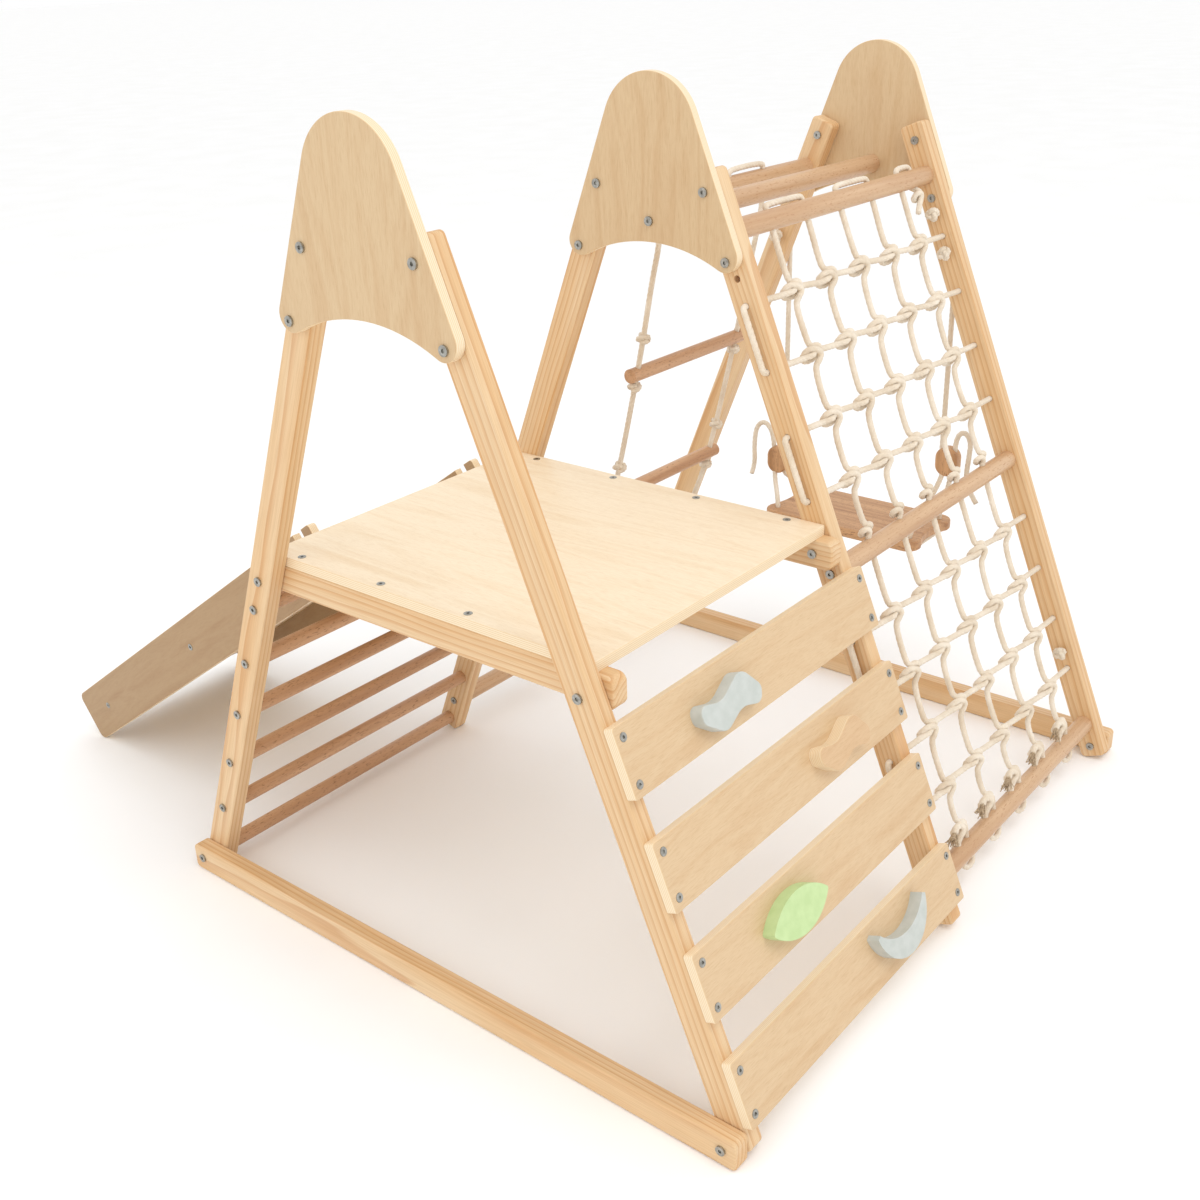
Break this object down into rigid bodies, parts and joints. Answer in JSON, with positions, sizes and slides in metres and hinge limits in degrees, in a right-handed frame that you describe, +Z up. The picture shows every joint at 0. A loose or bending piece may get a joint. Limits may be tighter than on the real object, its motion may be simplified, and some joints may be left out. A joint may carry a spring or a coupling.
{
  "type": "indoor climbing frame",
  "caption": "Wooden indoor climbing frame: A-frames with a platform, rung ladder, slide, climbing wall, cargo net, rope ladder, hand bars and a swing.",
  "frame": {"origin": "middle of the whole object's box, on the floor", "axes": "+Z up; +Y towards the climbing wall and the net, -Y towards the foot of the slide; +X from the swing towards frame 1"},
  "size_m": [1.351, 1.7048, 1.251],
  "materials": {
    "pine": "planed, matt clear varnish",
    "plywood": "birch plywood, matt clear varnish",
    "beech": "turned beech, satin",
    "oiled_wood": "oiled, satin",
    "rope": "twisted cotton rope",
    "zinc": "zinc plated",
    "grey_paint": "matt paint on wood",
    "green_paint": "matt paint on wood"
  },
  "bodies": {
    "frame": {"bar_centre": "beech", "bar_ladder_side": "beech", "bar_net_side": "beech", "beam_1": "pine", "beam_2": "pine", "cap_1": "plywood", "cap_2": "plywood", "cap_3": "plywood", "frame1_leg_ladder": "pine", "frame1_leg_wall": "pine", "frame2_leg_ladder": "pine", "frame2_leg_wall": "pine", "frame3_leg_ladder": "pine", "frame3_leg_wall": "pine", "frame_bolts": "zinc", "hold_leaf_green": "green_paint", "hold_moon_grey": "grey_paint", "hold_wave_grey": "grey_paint", "hold_wave_plain": "plywood", "net_cross_rope": "rope", "net_dowel_foot": "beech", "net_dowel_middle": "beech", "net_rope_1_2": "rope", "net_rope_3_4": "rope", "net_rope_5": "rope", "platform_board": "plywood", "rail_1": "pine", "rail_3": "pine", "rope_ladder_dowel_foot": "beech", "rope_ladder_rope_far": "rope", "rope_ladder_rope_near": "rope", "rope_ladder_rung_1": "beech", "rope_ladder_rung_2": "beech", "rope_ladder_rung_3": "beech", "rung_1": "beech", "rung_2": "beech", "rung_3": "beech", "rung_4": "beech", "rung_5": "beech", "rung_6": "beech", "swing_anchor_left": "rope", "swing_anchor_right": "rope", "wall_plank_1": "plywood", "wall_plank_2": "plywood", "wall_plank_3": "plywood", "wall_plank_4": "plywood", "wood_screws": "zinc"},
    "slide": {"slide_board": "plywood", "slide_screws": "zinc", "slide_side_far": "plywood", "slide_side_near": "plywood"},
    "swing": {"swing_bridle_left": "rope", "swing_bridle_right": "rope", "swing_rope_left": "rope", "swing_rope_right": "rope", "swing_seat": "oiled_wood", "swing_tail_left": "rope", "swing_tail_right": "rope", "swing_toggle_left": "oiled_wood", "swing_toggle_right": "oiled_wood"}
  },
  "joints": [
    {"name": "slide_lift", "type": "hinge", "parent": "frame", "child": "slide", "pos_m": [0.327, -0.04307, 0.53854], "axis": [-1, 0, 0], "range_deg": [0, 15]},
    {"name": "swing_turn", "type": "hinge", "parent": "frame", "child": "swing", "pos_m": [-0.5875, 0.27946, 0.84], "axis": [0, 1, 0], "range_deg": [-20, 35]}
  ]
}
